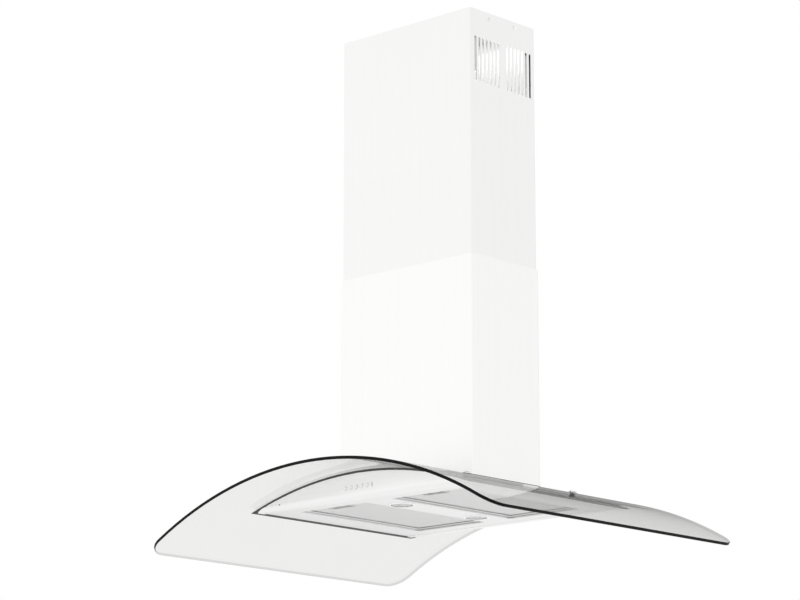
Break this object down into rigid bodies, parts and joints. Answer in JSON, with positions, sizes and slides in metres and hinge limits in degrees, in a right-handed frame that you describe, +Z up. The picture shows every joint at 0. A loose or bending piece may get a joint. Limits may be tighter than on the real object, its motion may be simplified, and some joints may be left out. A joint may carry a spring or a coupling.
{
  "type": "island range hood with a curved glass canopy",
  "caption": "Ceiling-hung island range hood: a curved glass canopy over a shallow steel body with grease filters, lamps and push buttons, under a rectangular two-part steel chimney.",
  "frame": {"origin": "centre of the ceiling bolt pattern, on the upper face of the ceiling bracket", "axes": "+Z up along the bolts into the ceiling, X across the arch of the glass, -Y the side with the push buttons; the hood hangs below the origin"},
  "size_m": [0.8992, 0.72, 1.0464],
  "materials": {
    "chimney_steel": "satin, fine vertical brushing",
    "body_steel": "satin, fine horizontal brushing",
    "galvanised": "dull zinc coat",
    "curved_glass": "polished, slightly grey toughened glass",
    "black_rubber": "matt",
    "filter_aluminium": "satin anodised",
    "filter_mesh": "expanded mesh",
    "latch_steel": "polished",
    "lamp_chrome": "polished",
    "lamp_glass": "frosted",
    "button_steel": "satin",
    "indicator_window": "smoked, glossy",
    "black_plastic": "fine grain",
    "grey_plastic": "fine grain",
    "circuit_board": "satin lacquer",
    "motor_black": "satin",
    "impeller_metal": "satin",
    "fastener_steel": "bright zinc"
  },
  "bodies": {
    "ceiling_frame": {"ceiling_bracket": "galvanised", "upper_uprights": "galvanised", "upper_frame_ring": "galvanised", "bracket_screws": "fastener_steel", "upper_sleeve": "chimney_steel", "sleeve_screws": "fastener_steel"},
    "canopy": {"glass_canopy": "curved_glass", "glass_bushes": "black_rubber", "glass_screws": "fastener_steel", "panel_gaskets": "black_rubber", "side_gaskets": "black_rubber", "cutout_gasket": "black_rubber", "front_fascia": "body_steel", "rear_fascia": "body_steel", "top_deck": "galvanised", "canopy_pan": "body_steel", "front_lamp_housing": "lamp_chrome", "rear_lamp_housing": "lamp_chrome", "front_lamp_lens": "lamp_glass", "rear_lamp_lens": "lamp_glass", "control_housing": "black_plastic", "control_board": "circuit_board", "indicator_lens": "indicator_window", "lower_uprights": "galvanised", "lower_frame_ring": "galvanised", "frame_bolts": "fastener_steel", "frame_nuts": "fastener_steel", "hanger_channels": "galvanised", "hanger_bolts": "fastener_steel", "motor_box": "galvanised", "scroll_front": "galvanised", "scroll_rear": "galvanised", "motor": "motor_black", "motor_spider": "galvanised", "spider_screws": "fastener_steel", "outlet_adaptor": "galvanised", "outlet_collar": "black_plastic", "terminal_box": "black_plastic", "terminal_lid": "black_plastic", "cable_gland": "grey_plastic", "run_capacitor": "grey_plastic"},
    "lower_chimney": {"lower_sleeve": "chimney_steel", "sleeve_seal": "black_rubber"},
    "left_filter": {"left_filter_frame": "filter_aluminium", "left_filter_mesh": "filter_mesh", "left_latch_cup": "black_plastic"},
    "right_filter": {"right_filter_frame": "filter_aluminium", "right_filter_mesh": "filter_mesh", "right_latch_cup": "black_plastic"},
    "left_latch": {"left_latch": "latch_steel"},
    "right_latch": {"right_latch": "latch_steel"},
    "impeller": {"impeller": "impeller_metal", "motor_shaft": "fastener_steel"},
    "left_flap": {"left_flap": "black_plastic"},
    "right_flap": {"right_flap": "black_plastic"},
    "button_1": {"button_1": "button_steel"},
    "button_2": {"button_2": "button_steel"},
    "button_3": {"button_3": "button_steel"},
    "button_4": {"button_4": "button_steel"},
    "button_5": {"button_5": "button_steel"}
  },
  "joints": [
    {"name": "height_slide", "type": "slide", "parent": "ceiling_frame", "child": "canopy", "axis": [0, 0, 1], "range_m": [-0.02, 0.16]},
    {"name": "sleeve_lift", "type": "slide", "parent": "canopy", "child": "lower_chimney", "axis": [0, 0, 1], "range_m": [0, 0.18]},
    {"name": "left_filter_hinge", "type": "hinge", "parent": "canopy", "child": "left_filter", "pos_m": [-0.1225, 0.16225, -0.961], "axis": [1, 0, 0], "range_deg": [0, 75]},
    {"name": "left_latch_slide", "type": "slide", "parent": "left_filter", "child": "left_latch", "axis": [0, 1, 0], "range_m": [0, 0.006], "stiffness_N_per_m": 400, "springref_m": -0.003},
    {"name": "right_filter_hinge", "type": "hinge", "parent": "canopy", "child": "right_filter", "pos_m": [0.1225, 0.16225, -0.961], "axis": [1, 0, 0], "range_deg": [0, 75]},
    {"name": "right_latch_slide", "type": "slide", "parent": "right_filter", "child": "right_latch", "axis": [0, 1, 0], "range_m": [0, 0.006], "stiffness_N_per_m": 400, "springref_m": -0.003},
    {"name": "button_1_press", "type": "slide", "parent": "canopy", "child": "button_1", "axis": [0, 1, 0], "range_m": [0, 0.001], "stiffness_N_per_m": 800, "springref_m": -0.001},
    {"name": "button_2_press", "type": "slide", "parent": "canopy", "child": "button_2", "axis": [0, 1, 0], "range_m": [0, 0.001], "stiffness_N_per_m": 800, "springref_m": -0.001},
    {"name": "button_3_press", "type": "slide", "parent": "canopy", "child": "button_3", "axis": [0, 1, 0], "range_m": [0, 0.001], "stiffness_N_per_m": 800, "springref_m": -0.001},
    {"name": "button_4_press", "type": "slide", "parent": "canopy", "child": "button_4", "axis": [0, 1, 0], "range_m": [0, 0.001], "stiffness_N_per_m": 800, "springref_m": -0.001},
    {"name": "button_5_press", "type": "slide", "parent": "canopy", "child": "button_5", "axis": [0, 1, 0], "range_m": [0, 0.001], "stiffness_N_per_m": 800, "springref_m": -0.001},
    {"name": "impeller_spin", "type": "hinge", "parent": "canopy", "child": "impeller", "pos_m": [-0.013, 0, -0.806], "axis": [0, 1, 0], "continuous": true},
    {"name": "left_flap_hinge", "type": "hinge", "parent": "canopy", "child": "left_flap", "pos_m": [-0.003, 0, -0.598], "axis": [0, 1, 0], "range_deg": [0, 80]},
    {"name": "right_flap_hinge", "type": "hinge", "parent": "canopy", "child": "right_flap", "pos_m": [0.003, 0, -0.598], "axis": [0, -1, 0], "range_deg": [0, 80]}
  ]
}
